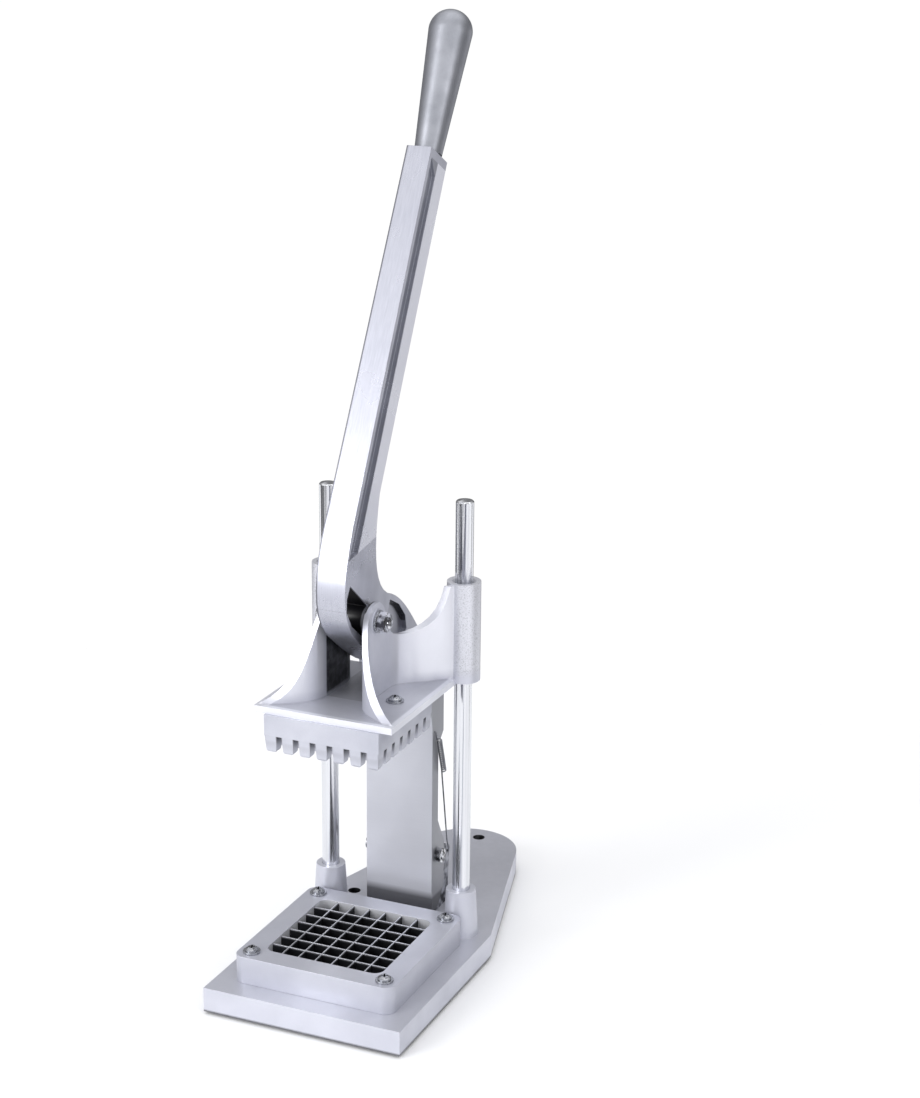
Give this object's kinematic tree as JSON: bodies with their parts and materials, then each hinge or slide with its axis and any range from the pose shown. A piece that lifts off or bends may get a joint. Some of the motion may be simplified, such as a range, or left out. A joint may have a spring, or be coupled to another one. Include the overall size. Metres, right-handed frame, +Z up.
{
  "type": "french fry cutter",
  "caption": "Bench-standing fry cutter: a long lever drives a guided finger block down through a square blade grid on a hollow cast base.",
  "frame": {"origin": "middle of the base's underside", "axes": "+Z up, +Y from the knife grid towards the round tail, X across the base"},
  "size_m": [0.15, 0.325, 0.667],
  "materials": {
    "cast_base": "satin cast",
    "cast_frame": "satin cast",
    "cast_head": "satin cast",
    "cast_pusher": "satin cast",
    "polished_lever": "polished cast",
    "cast_grip": "mottled satin",
    "rod_steel": "polished",
    "sheet_steel": "smooth plated",
    "blade_steel": "bright",
    "screw_steel": "bright",
    "washer_steel": "bright",
    "bolt_steel": "bright plated",
    "stud_steel": "plain",
    "spacer_steel": "turned",
    "spring_steel": "drawn wire"
  },
  "bodies": {
    "base": {"base_plate": "cast_base", "guide_rod_left": "rod_steel", "guide_rod_right": "rod_steel", "knife_frame": "cast_frame", "knives_across": "blade_steel", "knives_along": "blade_steel", "frame_screws": "screw_steel", "frame_washers": "washer_steel", "link_bracket": "sheet_steel", "bracket_screws": "screw_steel", "link_bolt": "bolt_steel", "link_bolt_nut": "bolt_steel", "link_bolt_washers": "washer_steel"},
    "head": {"head_casting": "cast_head", "pusher_block": "cast_pusher", "pusher_screws": "screw_steel", "pusher_washers": "washer_steel", "lever_bolt": "bolt_steel", "lever_bolt_nut": "bolt_steel", "lever_bolt_washers": "washer_steel"},
    "lever": {"lever_arm": "polished_lever", "grip": "cast_grip", "grip_stud": "stud_steel", "heel_bolt": "bolt_steel", "heel_bolt_nut": "bolt_steel", "heel_spacers": "spacer_steel"},
    "link": {"link_channel": "sheet_steel", "spring_left": "spring_steel", "spring_right": "spring_steel"}
  },
  "joints": [
    {"name": "lever_swing", "type": "hinge", "parent": "head", "child": "lever", "pos_m": [0, -0.0765, 0.273], "axis": [1, 0, 0], "range_deg": [0, 110], "stiffness_Nm_per_rad": 2.7, "springref_deg": -24.87},
    {"name": "head_slide", "type": "slide", "parent": "base", "child": "head", "axis": [0, 0, -1], "range_m": [0, 0.1564]},
    {"name": "link_swing", "type": "hinge", "parent": "base", "child": "link", "pos_m": [0, 0.0055, 0.068], "axis": [1, 0, 0], "range_deg": [0, 21.4], "deforming": ["spring_left", "spring_right"]}
  ],
  "couplings": [
    {"joint": "head_slide", "follows": "lever_swing", "m_per_rad": 0.081376},
    {"joint": "link_swing", "follows": "lever_swing", "ratio": 0.19339}
  ]
}
